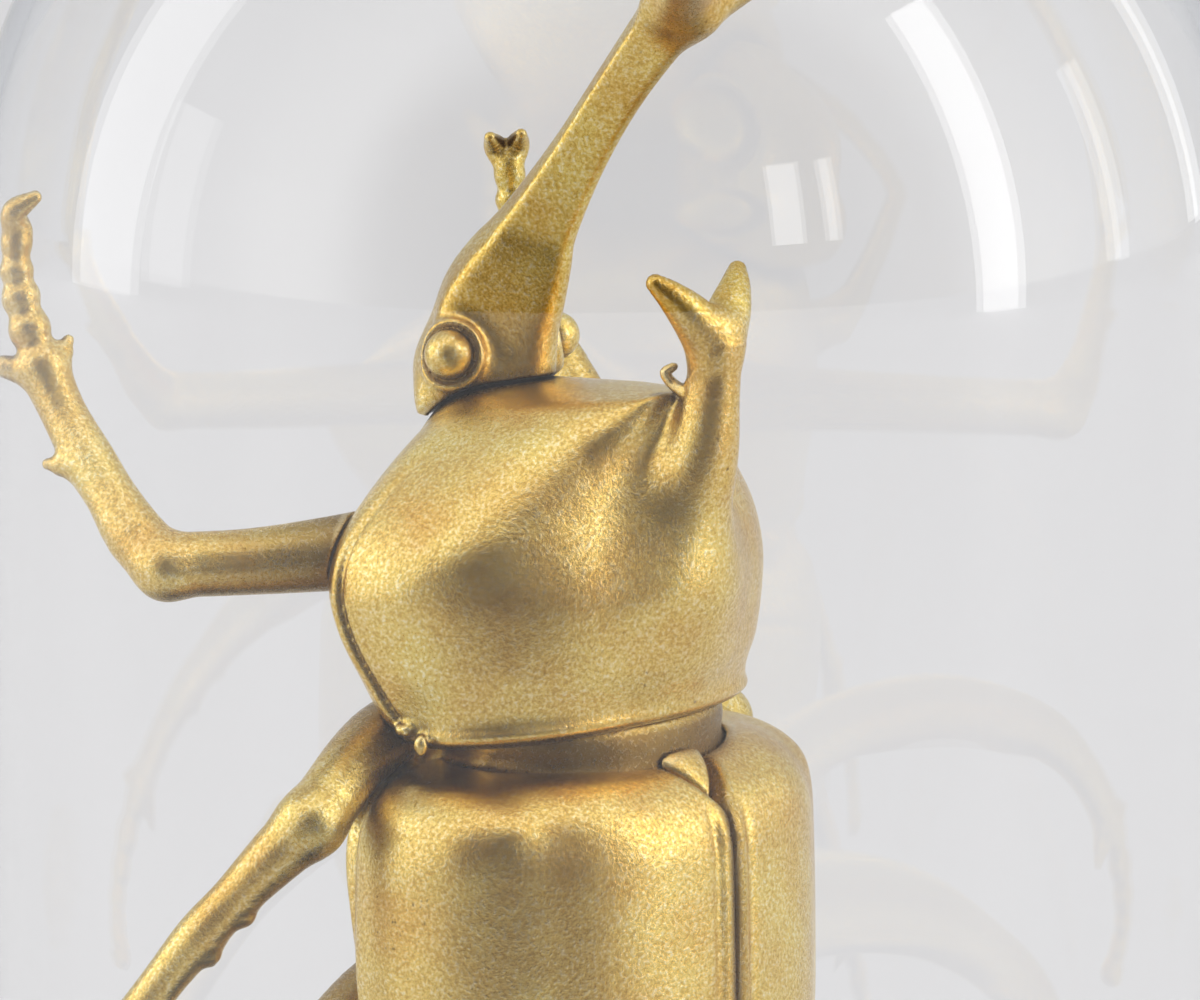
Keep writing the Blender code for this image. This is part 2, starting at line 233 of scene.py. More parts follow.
def drawn_brass():
    """Brass with fine marks of the die along it and a little tarnish."""
    material, shader, node, ramp, link = stock("drawn_brass")
    where = node("TexCoord").outputs["Object"]
    along = node("Mapping", Vector=where, Scale=(4000.0, 4000.0, 60.0))
    marks = node("TexNoise", Vector=along.outputs[0], Scale=1.0, Detail=4.0)
    tarnish = node("TexNoise", Vector=where, Scale=90.0, Detail=5.0)
    brass = ramp(tarnish.outputs["Fac"], (0.3, (0.42, 0.27, 0.09)), (0.62, (0.76, 0.57, 0.26)))
    link(brass, shader.inputs["Base Color"])
    shader.inputs["Metallic"].default_value = 1.0
    gloss = node("MapRange", Value=marks.outputs["Fac"], To_Min=0.20, To_Max=0.40)
    link(gloss.outputs[0], shader.inputs["Roughness"])
    bump = node("Bump", Height=marks.outputs["Fac"], Strength=0.2, Distance=0.0001)
    link(bump.outputs[0], shader.inputs["Normal"])
    return material


rod.data.materials.append(drawn_brass())
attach(rod, "root")
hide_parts("support_rod")

# ---- Trunk casting ----------------------------------------------------------------------------
# The beetle's neck collar, thorax and abdomen, cast in resin as one lump and gilded. Its underside
# has the plates of the breast, the sockets of the legs and the rings of the abdomen.
# Places on the beetle are in millimetres: x across, y from back to belly, and z up from the tail.
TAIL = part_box("body")[0][2] / MM
FINE = 1.0


def smooth_column(heights, values, spacing=0.25):
    """A lookup of values against height that bends smoothly through the given ones."""
    heights, values = np.array(heights, float), np.array(values, float)
    slopes = np.gradient(values, heights)
    dense = np.arange(heights[0], heights[-1] + spacing, spacing)
    i = np.clip(np.searchsorted(heights, dense, side="right") - 1, 0, len(heights) - 2)
    span = heights[i + 1] - heights[i]
    t = np.clip((dense - heights[i]) / span, 0, 1)
    smooth = (
        (1 + 2 * t) * (1 - t) ** 2 * values[i]
        + t * (1 - t) ** 2 * span * slopes[i]
        + t**2 * (3 - 2 * t) * values[i + 1]
        + t**2 * (t - 1) * span * slopes[i + 1]
    )
    return lambda z: np.interp(z, dense, smooth)


def shell_levels(levels):
    """Lookups of half width, margin, back and belly against height, from rows of them."""
    columns = list(zip(*levels))
    return [smooth_column(columns[0], column) for column in columns[1:]]


def shell(x, y, z, columns, keel=2.0, crown=2.0):
    """Depth outside an egg section whose size changes with height. A keel under 2 sharpens its
    margin on the belly side, and a crown over 2 squares its shoulders."""
    wide, margin, back, belly = (column(z) for column in columns)
    above = y < margin
    deep = np.where(above, margin - back, belly - margin)
    u, v = np.abs(x / wide), np.abs((y - margin) / deep)
    power = np.where(above, crown, keel)
    ratio = (u**power + v**power) ** (1 / power) + 1e-6
    steep = np.sqrt((u / wide) ** 2 + (v / deep) ** 2) + 1e-6
    return ratio * (ratio - 1) / steep


def soft_min(a, b, soft):
    """The lower of two depths, with a fillet between them."""
    h = np.clip(0.5 + 0.5 * (b - a) / soft, 0, 1)
    return b + (a - b) * h - soft * h * (1 - h)


def soft_max(a, b, soft):
    """The higher of two depths, with the corner between them rounded."""
    return -soft_min(-a, -b, soft)


def route(knots, step=2.0):
    """Points and radii on a smooth line through (x, y, z, radius) knots."""
    knots = [np.array(knot, float) for knot in knots]
    ends = [2 * knots[0] - knots[1], *knots, 2 * knots[-1] - knots[-2]]
    line = []
    for a, b, c, d in zip(ends, ends[1:], ends[2:], ends[3:]):
        count = max(1, round(float(np.linalg.norm(c - b)) / step))
        for t in np.arange(count) / count:
            bend = 2 * a - 5 * b + 4 * c - d
            twist = 3 * b - a - 3 * c + d
            line.append(0.5 * (2 * b + (c - a) * t + bend * t**2 + twist * t**3))
    return line + [knots[-1]]


def limb(x, y, z, line):
    """Depth outside a round tapering limb along a line of points and radii."""
    best = np.full(np.shape(x), 1e3)
    for (ax, ay, az, ar), (bx, by, bz, br) in zip(line, line[1:]):
        dx, dy, dz = bx - ax, by - ay, bz - az
        t = np.clip(((x - ax) * dx + (y - ay) * dy + (z - az) * dz) / (dx * dx + dy * dy + dz * dz), 0, 1)
        away = np.sqrt((x - ax - t * dx) ** 2 + (y - ay - t * dy) ** 2 + (z - az - t * dz) ** 2)
        best = np.minimum(best, away - ar - (br - ar) * t)
    return best


def ball(x, y, z, centre, sizes):
    """Depth outside an ellipsoid."""
    u, v, w = ((p - c) / s for p, c, s in zip((x, y, z), centre, sizes))
    ratio = np.sqrt(u * u + v * v + w * w) + 1e-6
    steep = np.sqrt((u / sizes[0]) ** 2 + (v / sizes[1]) ** 2 + (w / sizes[2]) ** 2) + 1e-6
    return ratio * (ratio - 1) / steep


def hump(distance, width):
    """A smooth bump of height 1, that far from its middle."""
    return np.exp(-((distance / width) ** 2))


def depths_on_grid(shape, low, high, step):
    """The depth field on a grid, worked out exactly only near the skin."""
    blocks = np.ceil((high - low) / step / 4).astype(int)
    axes = [low[i] + step * np.arange(4 * blocks[i] + 1) for i in range(3)]
    rough = shape(*np.meshgrid(*(axis[::4] for axis in axes), indexing="ij"))
    near = np.zeros(blocks, bool)
    reach = 4 * step * 2.2
    low_side = np.full(blocks, np.inf)
    high_side = np.full(blocks, -np.inf)
    for i in (0, 1):
        for j in (0, 1):
            for k in (0, 1):
                corner = rough[i : i + blocks[0], j : j + blocks[1], k : k + blocks[2]]
                near |= np.abs(corner) < reach
                low_side = np.minimum(low_side, corner)
                high_side = np.maximum(high_side, corner)
    near |= (low_side < 0) & (high_side > 0)
    depths = rough[:-1, :-1, :-1].repeat(4, 0).repeat(4, 1).repeat(4, 2)
    depths = np.pad(depths, ((0, 1),) * 3, mode="edge")
    spread = np.pad(near.repeat(4, 0).repeat(4, 1).repeat(4, 2), ((0, 1),) * 3)
    for axis in range(3):
        spread |= np.roll(spread, 1, axis)
    i, j, k = np.nonzero(spread)
    depths[i, j, k] = shape(axes[0][i], axes[1][j], axes[2][k])
    return depths


def skin(shape, low, high, step):
    """Points and four-sided faces of the surface where the depth is nought."""
    depths = depths_on_grid(shape, low, high, step)
    solid = depths < 0
    offsets = [(i, j, k) for i in (0, 1) for j in (0, 1) for k in (0, 1)]
    cells = tuple(size - 1 for size in depths.shape)
    filled = np.zeros(cells, np.int8)
    for i, j, k in offsets:
        filled += solid[i : i + cells[0], j : j + cells[1], k : k + cells[2]]
    active = (filled > 0) & (filled < 8)
    where = np.argwhere(active)
    number = np.full(cells, -1)
    number[active] = np.arange(len(where))
    corner = np.stack([depths[tuple((where + offset).T)] for offset in offsets], 1)
    total = np.zeros((len(where), 3))
    crossings = np.zeros(len(where))
    for a, first in enumerate(offsets):
        for b, second in enumerate(offsets):
            if b <= a or sum(abs(p - q) for p, q in zip(first, second)) != 1:
                continue
            cut = (corner[:, a] < 0) != (corner[:, b] < 0)
            t = corner[cut, a] / (corner[cut, a] - corner[cut, b])
            total[cut] += np.array(first) + t[:, None] * (np.array(second) - np.array(first))
            crossings[cut] += 1
    points = low + step * (where + total / crossings[:, None])
    quads = []
    for axis in range(3):
        one, two = (axis + 1) % 3, (axis + 2) % 3
        ahead = np.roll(solid, -1, axis)
        for entering in (False, True):
            edge = (solid & ~ahead) if not entering else (~solid & ahead)
            at = np.argwhere(edge)
            at = at[(at[:, axis] < cells[axis]) & (at[:, one] > 0) & (at[:, two] > 0)]
            at = at[(at[:, one] < cells[one]) & (at[:, two] < cells[two])]
            ring = []
            for back_one, back_two in ((1, 1), (0, 1), (0, 0), (1, 0)):
                cell = at.copy()
                cell[:, one] -= back_one
                cell[:, two] -= back_two
                ring.append(number[tuple(cell.T)])
            quads.append(np.stack(ring if not entering else ring[::-1], 1))
    return points, np.concatenate(quads)


def slope_of(shape, points, reach=0.05):
    """Which way is out at each point, and how fast the depth grows that way."""
    slope = np.empty_like(points)
    for axis in range(3):
        step = np.zeros(3)
        step[axis] = reach
        slope[:, axis] = (shape(*(points + step).T) - shape(*(points - step).T)) / (2 * reach)
    size = np.linalg.norm(slope, axis=1, keepdims=True) + 1e-6
    return slope / size, size[:, 0]


def cast(name, shape, node, step, touching=(), near=(), patina_and_shade_reach=(0.75, 4.0), grow=1.6):
    """Skins a shape into a piece, and marks how far sunk in a recess, how far turned down or how near a
    neighbour its skin lies: patina, and painted shade.
    glaze is how dark the patina and painted shade are against a neighbour, and the distance over which
    they thin out."""
    low, high = (np.array(corner) / MM - (0, 0, TAIL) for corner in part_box(node))
    points, quads = skin(shape, low - grow, high + grow, step * FINE)
    for _ in range(2):
        out, size = slope_of(shape, points)
        move = np.clip(shape(*points.T) / size, -0.5 * step * FINE, 0.5 * step * FINE)
        points -= out * move[:, None]
    out, size = slope_of(shape, points)
    # Darker in recesses: patina, and painted shade as well.
    patina_and_shade = np.zeros(len(points))
    for reach in (0.7, 2.4):
        open_by = shape(*(points + out * reach).T) / (reach * np.clip(size, 0.6, 1.6))
        patina_and_shade = np.maximum(patina_and_shade, np.clip(1 - open_by, 0, 1))
    # Faces turned down are darkened: painted shade.
    patina_and_shade = np.maximum(patina_and_shade, 0.46 * np.clip((-out[:, 2] - 0.30) / 0.5, 0, 1))
    worn = np.clip(1 + shape(*(points - out * 1.2).T) / (1.2 * np.clip(size, 0.6, 1.6)), 0, 1)
    seam = np.zeros(len(points))
    # Skin near a neighbour is darkened: patina, and painted shade as well.
    for neighbour in (*touching, *near):
        patina_and_shade = np.maximum(patina_and_shade, np.clip(patina_and_shade_reach[0] - neighbour(*points.T) / patina_and_shade_reach[1], 0, 1))
    for neighbour in touching:
        seam = np.maximum(seam, np.clip(1 - neighbour(*points.T) / 1.3, 0, 1))
    mesh = bpy.data.meshes.new(name)
    mesh.vertices.add(len(points))
    mesh.vertices.foreach_set("co", ((points + (0, 0, TAIL)) * MM).astype(np.float32).ravel())
    mesh.loops.add(len(quads) * 4)
    mesh.loops.foreach_set("vertex_index", quads.astype(np.int32).ravel())
    mesh.polygons.add(len(quads))
    mesh.polygons.foreach_set("loop_start", np.arange(0, len(quads) * 4, 4, dtype=np.int32))
    mesh.update(calc_edges=True)
    for label, values in (("patina_and_shade", patina_and_shade), ("worn", worn), ("seam", seam)):
        mesh.attributes.new(label, "FLOAT", "POINT").data.foreach_set("value", values.astype(np.float32))
    mesh.shade_smooth()
    piece = bpy.data.objects.new(name, mesh)
    bpy.context.scene.collection.objects.link(piece)
    return piece


def gilding():
    """Gold leaf and gilt wax over resin: a fine bright flake with painted whitish glints, worn on the high
    places, with brown patina and painted shade in the hollows, on faces turned down, near other parts and
    along the glue lines, and scattered dark specks."""
    material, shader, node, ramp, link = stock("gilding")
    where = node("TexCoord").outputs["Object"]
    flake = node("TexNoise", Vector=where, Scale=1900.0, Detail=4.0, Roughness=0.7)
    cloud = node("TexNoise", Vector=where, Scale=60.0, Detail=5.0, Roughness=0.6)
    specks = node("TexNoise", Vector=where, Scale=1100.0, Detail=2.0)
    patches = node("TexNoise", Vector=where, Scale=34.0, Detail=4.0)
    patina_and_shade = node("Attribute", attribute_name="patina_and_shade").outputs["Fac"]
    worn = node("Attribute", attribute_name="worn").outputs["Fac"]
    seam = node("Attribute", attribute_name="seam").outputs["Fac"]

    gold = ramp(cloud.outputs["Fac"], (0.30, (0.73, 0.45, 0.10)), (0.66, (0.90, 0.70, 0.205)))
    # The flake's tone varies at random like grain; its top, bluish-white stop is a painted glint that
    # whitens the gold.
    bright = ramp(
        flake.outputs["Fac"],
        (0.36, (0.82, 0.72, 0.56)),
        (0.52, (1.04, 1.04, 1.02)),
        (0.63, (1.10, 1.28, 2.7)),
    )
    flaked = node("Mix", data_type="RGBA", blend_type="MULTIPLY", i0=1.0, i6=gold, i7=bright)

    # From the attribute made in cast: patina in the hollows, and painted shade on faces turned down and
    # near other parts.
    deep = node("MapRange", Value=patina_and_shade, From_Min=0.16, From_Max=0.62, To_Max=0.85)
    speck = node("MapRange", Value=specks.outputs["Fac"], From_Min=0.66, From_Max=0.74, To_Max=0.7)
    patch = node("MapRange", Value=patches.outputs["Fac"], From_Min=0.52, From_Max=0.68)
    speckled = node("Math", operation="MULTIPLY", i0=speck.outputs[0], i1=patch.outputs[0])
    patina_shade_and_specks = node("Math", operation="MAXIMUM", i0=deep.outputs[0], i1=speckled.outputs[0])
    rubbing = node("MapRange", Value=worn, From_Min=0.25, From_Max=0.7, To_Max=0.5)
    gluing = node("MapRange", Value=seam, From_Min=0.28, From_Max=0.75)
    finish = flaked.outputs[2]
    # Mixed in: a brown for patina, specks and painted shade; a light gold for wear; a near-black for glue.
    for amount, colour in (
        (patina_shade_and_specks, (0.16, 0.085, 0.025, 1)),
        (rubbing, (0.88, 0.73, 0.42, 1)),
        (gluing, (0.022, 0.014, 0.010, 1)),
    ):
        finish = node("Mix", data_type="RGBA", i0=amount.outputs[0], i6=finish, i7=colour).outputs[2]
    link(finish, shader.inputs["Base Color"])
    shader.inputs["Metallic"].default_value = 1.0

    satin = node(
        "MapRange", Value=cloud.outputs["Fac"], From_Min=0.3, From_Max=0.7, To_Min=0.17, To_Max=0.26
    )
    glint = node(
        "MapRange", Value=flake.outputs["Fac"], From_Min=0.40, From_Max=0.62, To_Min=0.04, To_Max=-0.09
    )
    mottled = node("Math", operation="ADD", i0=satin.outputs[0], i1=glint.outputs[0])
    dulled = node("Math", operation="MULTIPLY_ADD", i0=patina_shade_and_specks.outputs[0], i1=0.15, i2=mottled.outputs[0])
    link(dulled.outputs[0], shader.inputs["Roughness"])
    ripple = node("TexNoise", Vector=where, Scale=170.0, Detail=3.0)
    wavy = node("Bump", Height=ripple.outputs["Fac"], Strength=0.30, Distance=0.0006)
    grain = node(
        "Bump", Height=flake.outputs["Fac"], Strength=0.7, Distance=0.00013, Normal=wavy.outputs[0]
    )
    link(grain.outputs[0], shader.inputs["Normal"])
    return material


gilt = gilding()


def gild(piece, node):
    """Gilds a casting and puts it in the place of its plain solid."""
    piece.data.materials.append(gilt)
    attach(piece, "root")
    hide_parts(node)


TRUNK = shell_levels([
    # height, half width, margin, back, belly
    (-0.2, 3.0, 1.0, -0.6, 2.4),
    (1.8, 13.0, 1.5, -5.0, 8.5),
    (4.8, 19.6, 2.0, -9.0, 12.5),
    (10.8, 25.8, 3.0, -13.0, 17.0),
    (18.8, 30.8, 4.0, -16.2, 20.8),
    (27.8, 33.8, 4.5, -18.2, 23.6),
    (37.8, 35.3, 5.0, -19.3, 25.8),
    (47.8, 35.8, 5.0, -19.6, 27.4),
    (56.8, 35.8, 5.0, -19.3, 28.6),
    (65.8, 35.3, 5.0, -18.3, 29.0),
    (72.8, 34.0, 5.0, -15.6, 28.4),
    (77.3, 31.0, 5.0, -12.8, 27.0),
    (79.8, 23.5, 5.0, -12.4, 25.0),
    (84.8, 22.5, 5.0, -11.8, 23.5),
    (87.8, 20.5, 5.0, -10.0, 21.5),
])
COLLAR_TOP = 87.0
ROD_CLEARANCE = 0.3
# Where each left leg leaves the trunk: x, y, z and the radius of its socket.
SOCKETS = [(-19, 19.5, 82.6, 6.6), (-15, 20.5, 47.4, 6.8)]
RING_HEIGHTS = [8.0, 14.5, 21.0, 27.5, 34.0, 40.0]


def plain_trunk(x, y, z):
    """The trunk's outline, without its engraving."""
    return soft_max(shell(x, y, z, TRUNK), z - COLLAR_TOP, 1.5)


def trunk(x, y, z):
    depth = plain_trunk(x, y, z)
    for sx, sy, sz, radius in SOCKETS:
        depth = soft_min(depth, ball(np.abs(x), y, z, (-sx, sy, sz), (radius, radius, radius * 0.8)), 3.0)
    under = np.clip((y - 6) / 6, 0, 1)
    for height in RING_HEIGHTS:
        bow = height + 1.6 * (x / 30) ** 2
        depth = depth + under * (0.42 * hump(z - bow, 0.55) - 0.22 * hump(z - bow + 1.5, 1.1))
    breast = np.clip((y - 12) / 6, 0, 1)
    depth = depth + breast * 0.45 * hump(x, 0.6) * np.clip((z - 44) / 4, 0, 1)
    depth = depth + breast * 0.45 * hump(z - 64.5 - 0.25 * np.abs(x), 0.6)
    bore = np.hypot(x, y - rod_y / MM) - rod_radius / MM - ROD_CLEARANCE
    return np.maximum(depth, -np.maximum(bore, z - rod_high[2] / MM + TAIL - 0.5))


def collar_shade_band(x, y, z):
    """Distance from the band of the trunk that shows between the shield and the wing cases, which is
    darkened as painted shade.
    """
    return np.abs(z - 80.5) - 3.5 + np.maximum(y, 0)


# The trunk is darkened along the collar band: painted shade.
gild(cast("trunk_casting", trunk, "body", 0.6, near=[collar_shade_band]), "body")

# ---- Pronotum ---------------------------------------------------------------------------------
# The shield behind the head, cast with the short forked horn that grows on its back. A seam of the
# mould runs down each side as a fine bead, and its hind edge has a rounded lip over the collar.
SHIELD = shell_levels([
    # height, half width, margin, back, belly
    (82.4, 24.0, 8.0, -8.6, 22.5),
    (84.0, 28.6, 8.4, -10.6, 24.5),
    (87.0, 31.2, 11.0, -12.4, 26.0),
    (92.8, 33.8, 14.2, -14.0, 27.0),
    (99.8, 36.0, 17.0, -15.0, 28.0),
    (105.8, 36.8, 18.0, -15.0, 28.4),
    (111.8, 36.0, 18.0, -13.4, 28.2),
    (116.8, 32.8, 16.8, -11.8, 27.6),
    (122.8, 27.0, 15.0, -11.4, 26.6),
    (127.8, 21.2, 13.2, -12.6, 25.0),
    (130.2, 18.0, 12.0, -12.8, 23.4),
    (133.0, 14.0, 11.0, -12.0, 21.6),
])
HIND_RISE = 0.10
HIND_EDGE = 83.2
FRONT_FACE = 131.2
FRONT_BOW = 0.014
STEM = route([
    (0, -4.6, 98, 6.0),
    (0, -7.2, 106, 7.2),
    (0, -10.4, 112, 7.2),
    (0, -13.6, 118, 6.3),
    (0, -16.2, 124, 5.0),
    (0, -17.7, 130.4, 3.9),
    (0, -18.5, 136.8, 3.5),
    (0, -18.5, 140.0, 3.5),
], 1.0)
TINE = route([
    (-0.6, -18.4, 137.6, 3.4),
    (-3.4, -17.8, 141.6, 3.1),
    (-6.4, -16.6, 144.8, 2.2),
    (-8.7, -15.2, 147.0, 1.3),
], 1.0)
WHISKER = route([
    (-2.2, -14.8, 131.6, 1.0),
    (-2.6, -13.0, 132.8, 0.8),
    (-3.2, -12.4, 134.2, 0.75),
    (-2.4, -13.2, 135.0, 0.6),
], 0.5)
# The broad swelling that the short horn grows from: its height, half width, middle and half length.
SWELLING = (2.1, 10.0, 108.0, 12.0)


def pronotum_shape(x, y, z):
    side = -np.abs(x)
    lifted = z - HIND_RISE * (8.0 - y) * np.clip((94 - z) / 8, 0, 1)
    depth = shell(x, y, lifted, SHIELD, keel=1.6, crown=2.1)
    margin = SHIELD[1](lifted)
    wide = SHIELD[0](lifted)
    flank = np.clip((np.abs(x) / wide - 0.75) / 0.15, 0, 1) * np.clip((128 - z) / 6, 0, 1)
    rise = margin - y
    depth = depth - flank * 0.38 * hump(rise - 0.3, 0.6) + flank * 0.5 * hump(rise - 1.5, 0.42)
    above = lifted - HIND_EDGE
    dorsal = np.clip((margin - y) / 5, 0, 1)
    depth = depth - dorsal * 0.9 * hump(above - 1.8, 1.9) + dorsal * 0.40 * hump(above - 6.2, 2.8)
    height, across, middle, along = SWELLING
    depth = depth - dorsal * height * hump(x, across) * hump(z - middle, along)
    stem = limb(x, y, z, STEM)
    depth = soft_min(depth, stem, np.clip(11 - (z - 104) * 0.32, 2.0, 11.0))
    depth = soft_max(depth, HIND_EDGE - lifted, 1.6)
    facet = z - FRONT_FACE + FRONT_BOW * x * x + 0.05 * np.maximum(y, 0) - 0.8 * np.maximum(-13.0 - y, 0)
    sideways = np.clip((np.abs(x) - 5) / 9, 0, 1)
    bead = 0.35 * hump(np.hypot(depth, facet), 0.8) * np.clip(-y / 6, 0, 1) * (1 - sideways)
    cut = soft_max(depth, facet, 0.6 + 8 * sideways) - bead
    depth = np.minimum(cut, soft_max(stem, -(z - 100), 1.0))
    tine = limb(side, y, z, TINE)
    depth = soft_min(depth, tine, 1.6)
    depth = soft_min(depth, limb(x, y, z, WHISKER), 0.4)
    return depth


def pronotum(x, y, z):
    depth = pronotum_shape(x, y, z)
    depth = soft_min(depth, ball(x, y, z, (-31.4, 9.4, 86.8), (1.5, 1.6, 1.0)), 0.9)
    depth = soft_min(depth, ball(x, y, z, (-31.6, 6.6, 85.0), (1.0, 1.0, 1.5)), 0.9)
    depth = soft_max(depth, -ball(x, y, z, (-32.4, 7.4, 86.9), (1.3, 0.8, 0.8)), 0.3)
    return soft_max(depth, 0.35 - plain_trunk(x, y, z), 0.4)


# ---- Head -------------------------------------------------------------------------------------
# The head and the long horn on it, one casting. The horn has flat sides between four soft ridges,
# and forks twice at its tip. The head is glued to the front face of the pronotum.
HORN_LINE = route([
    (0, 20.4, 131.0, 10.2),
    (0, 19.4, 138.0, 10.0),
    (0, 17.2, 142.6, 9.0),
    (0, 14.8, 146.6, 7.6),
    (0, 11.8, 152.0, 5.9),
    (0, 5.4, 161.4, 4.45),
    (0, -1.4, 170.6, 4.05),
    (0, -8.6, 179.0, 4.4),
    (0, -13.4, 183.6, 5.0),
], 0.8)
ARM = route([(-1.5, -13.6, 184.2, 4.6), (-6.4, -18.6, 188.2, 3.9), (-11.6, -23.8, 191.8, 3.2)], 1.5)
ARM_TIPS = [
    route([(-11.0, -23.2, 191.4, 2.9), (-15.6, -25.6, 194.6, 2.1), (-19.2, -25.8, 198.4, 0.9)], 1.2),
    route([(-10.6, -22.8, 191.2, 2.9), (-11.6, -27.4, 195.4, 2.0), (-11.0, -30.4, 200.0, 0.9)], 1.2),
]
EYE = (-11.4, 19.4, 134.5)
EYE_RADIUS = 3.3
# The faces of the horn's section: which way each faces, across and forward, and how far out it lies.
HORN_FACES = [(0.848, -0.53, 0.68), (0.707, 0.707, 0.95), (0.0, 1.0, 1.08), (0.0, -1.0, 0.91)]
EDGE_SHARPNESS = 9


def horn(x, y, z, line):
    """Depth outside the horn, whose section has flat sides between soft ridges."""
    best = np.full(np.shape(x), 1e3)
    for (_, ay, az, ar), (_, by, bz, br) in zip(line, line[1:]):
        dy, dz = by - ay, bz - az
        long = math.hypot(dy, dz)
        along = ((y - ay) * dy + (z - az) * dz) / (long * long)
        t = np.clip(along, 0, 1)
        front = ((y - ay) * dz - (z - az) * dy) / long
        past = (along - t) * long
        total = 1e-9
        for across, forward, out in HORN_FACES:
            total = total + np.maximum(0, (np.abs(x) * across + front * forward) / out) ** EDGE_SHARPNESS
        best = np.minimum(best, np.hypot(total ** (1 / EDGE_SHARPNESS), past) - ar - (br - ar) * t)
    return best


def head_shape(x, y, z):
    side = -np.abs(x)
    depth = ball(x, y, z, (0, 21.0, 131.0), (8.6, 8.0, 7.6))
    depth = soft_min(depth, horn(x, y, z, HORN_LINE), 2.0)
    depth = soft_min(depth, ball(side, y, z, (-8.6, 20.6, 133.8), (4.4, 4.4, 5.2)), 2.0)
    depth = soft_min(depth, ball(side, y, z, (-7.4, 23.4, 128.0), (4.6, 4.2, 5.6)), 2.5)
    depth = soft_min(depth, ball(x, y, z, (0, 26.0, 132.0), (8.6, 5.4, 5.6)), 4.0)
    depth = soft_min(depth, limb(side, y, z, ARM), 4.0)
    for tip in ARM_TIPS:
        depth = soft_min(depth, limb(side, y, z, tip), 1.8)
    from_eye = np.sqrt((side - EYE[0]) ** 2 + (y - EYE[1]) ** 2 + (z - EYE[2]) ** 2)
    depth = depth + 0.8 * hump(from_eye - EYE_RADIUS - 0.35, 0.42)
    depth = depth - 0.3 * hump(from_eye - EYE_RADIUS - 1.4, 0.6)
    return soft_min(depth, from_eye - EYE_RADIUS, 0.25)


def head(x, y, z):
    return soft_max(head_shape(x, y, z), 0.35 - pronotum_shape(x, y, z), 0.5)


# Glue shows along the joint of the head and the pronotum, so both are cast here.
gild(cast("pronotum_casting", pronotum, "pronotum", 0.45, touching=[head], near=[plain_trunk]), "pronotum")
gild(cast("head_casting", head, "head", 0.4, touching=[pronotum_shape]), "head")

# ---- Wing cases and scutellum -----------------------------------------------------------------
# Gilded resin castings: two curved shells over the abdomen, beaded along their side edges and along
# the middle of the back where they meet, and turned down at the front. The scutellum is the small
# three-sided plate let in between their front corners.
CASE_WIDE = smooth_column([-3, 20, 45, 60, 75, 82], [39.6, 39.6, 39.6, 39.5, 38.8, 38.0])
CASE_MARGIN = smooth_column([-3, 5, 15, 30, 45, 82], [-0.5, 1.5, 3.4, 4.6, 5.0, 5.0])
CASE_BACK = smooth_column([-3, 30, 48, 60, 72, 82], [27.8, 27.8, 27.8, 27.6, 27.0, 26.0])
TAPER_FROM = 49.8
TAPER_LONG = 52.3
CASE_FRONT = 80.6
SIDE_EDGE = 18.0


def case_skin(x, y, z):
    """Depth outside the egg that both wing cases are cut from."""
    wide, margin, deep = CASE_WIDE(z), CASE_MARGIN(z), CASE_BACK(z)
    t = np.clip((TAPER_FROM - z) / TAPER_LONG, 0, 1.3)
    u, v = x / wide, (y - margin) / deep
    ratio = np.sqrt(u * u + v * v + t**2.65) + 1e-6
    steep = np.sqrt((u / wide) ** 2 + (v / deep) ** 2 + (1.325 * t**1.65 / TAPER_LONG) ** 2) + 1e-6
    depth = ratio * (ratio - 1) / steep
    return soft_max(depth, z - CASE_FRONT, 12.0)


def beside(x, y, z, start, end):
    """Distance from a straight line between two points."""
    (ax, ay, az), (bx, by, bz) = start, end
    dx, dy, dz = bx - ax, by - ay, bz - az
    t = np.clip(((x - ax) * dx + (y - ay) * dy + (z - az) * dz) / (dx * dx + dy * dy + dz * dz), 0, 1)
    return np.sqrt((x - ax - t * dx) ** 2 + (y - ay - t * dy) ** 2 + (z - az - t * dz) ** 2)


SCUTELLUM_TIP = 75.4
SCUTELLUM_TOP = 81.8


def scutellum_sides(x, z):
    """Depth outside the triangle of the scutellum, looked at from the back."""
    return soft_max((np.abs(x) - 0.86 * (z - SCUTELLUM_TIP)) * 0.76, np.abs(x) - 4.8, 1.5)


def wing_case(side):
    def shape(x, y, z):
        across = side * x
        depth = case_skin(x, y, z)
        ridge = np.clip((z - 2) / 8, 0, 1) * np.clip((76 - z) / 4, 0, 1)
        depth = depth - ridge * 0.38 * hump(across - 1.7, 0.9) + ridge * 0.30 * hump(across - 3.6, 0.8)
        depth = depth + 0.30 * hump(across - 27.5, 3.4) - 0.25 * hump(across - 17, 6.0)
        depth = depth - 0.35 * hump(y - 16.2, 0.8) + 0.35 * hump(y - 13.9, 0.8)
        depth = depth - 0.5 * hump(beside(across, y, z, (33, -3, 74), (31, -8, 75)), 4.0)
        depth = soft_max(depth, 0.12 - across, 0.4)
        tail_edge = (y - 1.0) * 0.976 - (z + 3.2) * 0.218
        depth = soft_max(depth, np.maximum(y - SIDE_EDGE, tail_edge), 1.0)
        depth = soft_max(depth, 0.55 - np.maximum(scutellum_sides(x, z), y + 8), 0.6)
        return soft_max(depth, 0.4 - plain_trunk(x, y, z), 0.6)

    return shape


case_left, case_right = wing_case(-1), wing_case(1)


def scutellum(x, y, z):
    bulge = 0.09 * x * x + 0.06 * (z - 79) ** 2
    outside = (-y - (19.0 - 0.78 * (z - SCUTELLUM_TIP) - bulge)) * 0.79
    edge = soft_max(scutellum_sides(x, z), z - SCUTELLUM_TOP, 1.5)
    return np.maximum(soft_max(outside, edge - 0.35, 2.0), 0.35 - plain_trunk(x, y, z))


for node, shape, other in (
    ("elytron_left", case_left, case_right),
    ("elytron_right", case_right, case_left),
):
    gild(cast(node + "_casting", shape, node, 0.5, near=[other, scutellum, pronotum_shape]), node)
gild(cast("scutellum_casting", scutellum, "scutellum", 0.25, near=[pronotum_shape]), "scutellum")

